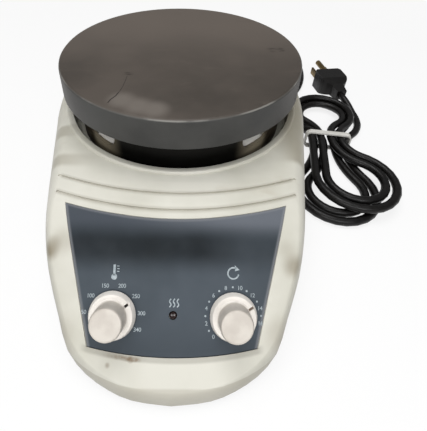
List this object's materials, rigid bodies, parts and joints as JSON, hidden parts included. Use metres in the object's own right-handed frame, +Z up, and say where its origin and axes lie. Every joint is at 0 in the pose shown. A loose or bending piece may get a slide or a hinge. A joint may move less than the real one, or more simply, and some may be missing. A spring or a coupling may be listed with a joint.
{
  "type": "hotplate stirrer",
  "caption": "Bench hotplate stirrer: round heated plate on a windowed drum over a moulded housing, with a sloping panel of heat and speed knobs, and a mains lead.",
  "frame": {"origin": "on the bench, under the middle of the object's width and depth, measured without the cord", "axes": "+X to the user's right, +Y away from the user, towards the rear fittings, +Z up"},
  "size_m": [0.2276, 0.3446, 0.085],
  "materials": {
    "cream_plastic": "textured moulded plastic",
    "knob_plastic": "smooth moulded plastic",
    "overlay_film": "satin printed film",
    "lens_plastic": "clear dark lens",
    "plate_enamel": "dark ceramic coating",
    "dark_steel": "satin black coating",
    "bright_steel": "zinc plated",
    "cast_aluminium": "plain",
    "magnet_nickel": "nickel plated",
    "copper_wire": "enamelled winding",
    "brass_metal": "bright",
    "black_rubber": "satin",
    "black_plastic": "satin",
    "cord_plastic": "smooth flexible jacket",
    "tie_plastic": "thin coated wire strip",
    "board_plastic": "solder mask",
    "ceramic": "diffusing lamp body",
    "ceramic_fibre": "pressed fibre"
  },
  "bodies": {
    "stirrer": {"upper_housing": "cream_plastic", "base_pan": "dark_steel", "control_overlay": "overlay_film", "indicator_lens": "lens_plastic", "indicator_lamp": "ceramic", "temp_potentiometer": "cast_aluminium", "speed_potentiometer": "cast_aluminium", "temp_nut": "bright_steel", "speed_nut": "bright_steel", "control_board": "board_plastic", "board_standoff_left": "brass_metal", "board_standoff_right": "brass_metal", "top_plate": "plate_enamel", "support_drum": "dark_steel", "heater_element": "cast_aluminium", "insulation_disc": "ceramic_fibre", "clamp_plate": "bright_steel", "temperature_probe": "bright_steel", "heat_shield": "cast_aluminium", "plate_spacer_1": "bright_steel", "plate_spacer_2": "bright_steel", "plate_spacer_3": "bright_steel", "motor_bracket": "bright_steel", "stir_motor": "bright_steel", "transformer_core": "bright_steel", "transformer_coil": "copper_wire", "power_switch_body": "black_plastic", "fuse_holder": "black_plastic", "rod_socket": "bright_steel", "strain_relief": "black_rubber", "cord_hank": "cord_plastic", "cord_lead": "cord_plastic", "cord_tail": "cord_plastic", "cord_tie": "tie_plastic", "plug_body": "cord_plastic", "plug_blade_1": "brass_metal", "plug_blade_2": "brass_metal", "plug_earth_pin": "brass_metal", "foot_front_left": "black_rubber", "base_screw_front_left": "bright_steel", "foot_front_right": "black_rubber", "base_screw_front_right": "bright_steel", "foot_rear_left": "black_rubber", "base_screw_rear_left": "bright_steel", "foot_rear_right": "black_rubber", "base_screw_rear_right": "bright_steel"},
    "temp_control": {"temp_shaft": "bright_steel", "temp_knob": "knob_plastic"},
    "speed_control": {"speed_shaft": "bright_steel", "speed_knob": "knob_plastic"},
    "stir_rotor": {"motor_shaft": "bright_steel", "magnet_yoke": "dark_steel", "drive_magnet_left": "magnet_nickel", "drive_magnet_right": "magnet_nickel"},
    "switch_rocker": {"power_rocker": "black_plastic"},
    "fuse_carrier": {"fuse_cap": "black_plastic"}
  },
  "joints": [
    {"name": "temp_knob_turn", "type": "hinge", "parent": "stirrer", "child": "temp_control", "pos_m": [-0.0253, -0.1135, 0.02546], "axis": [0, -0.6471, 0.7624], "range_deg": [-82, 188]},
    {"name": "speed_knob_turn", "type": "hinge", "parent": "stirrer", "child": "speed_control", "pos_m": [0.0253, -0.1135, 0.02546], "axis": [0, -0.6471, 0.7624], "range_deg": [-76, 194]},
    {"name": "stir_rotor_spin", "type": "hinge", "parent": "stirrer", "child": "stir_rotor", "pos_m": [0, 0.01, 0.05], "axis": [0, 0, 1], "continuous": true},
    {"name": "power_switch_rock", "type": "hinge", "parent": "stirrer", "child": "switch_rocker", "pos_m": [-0.02, 0.135, 0.018], "axis": [1, 0, 0], "range_deg": [-18, 0]},
    {"name": "fuse_cap_turn", "type": "hinge", "parent": "stirrer", "child": "fuse_carrier", "pos_m": [0.006, 0.1375, 0.016], "axis": [0, 1, 0], "range_deg": [0, 90]}
  ]
}
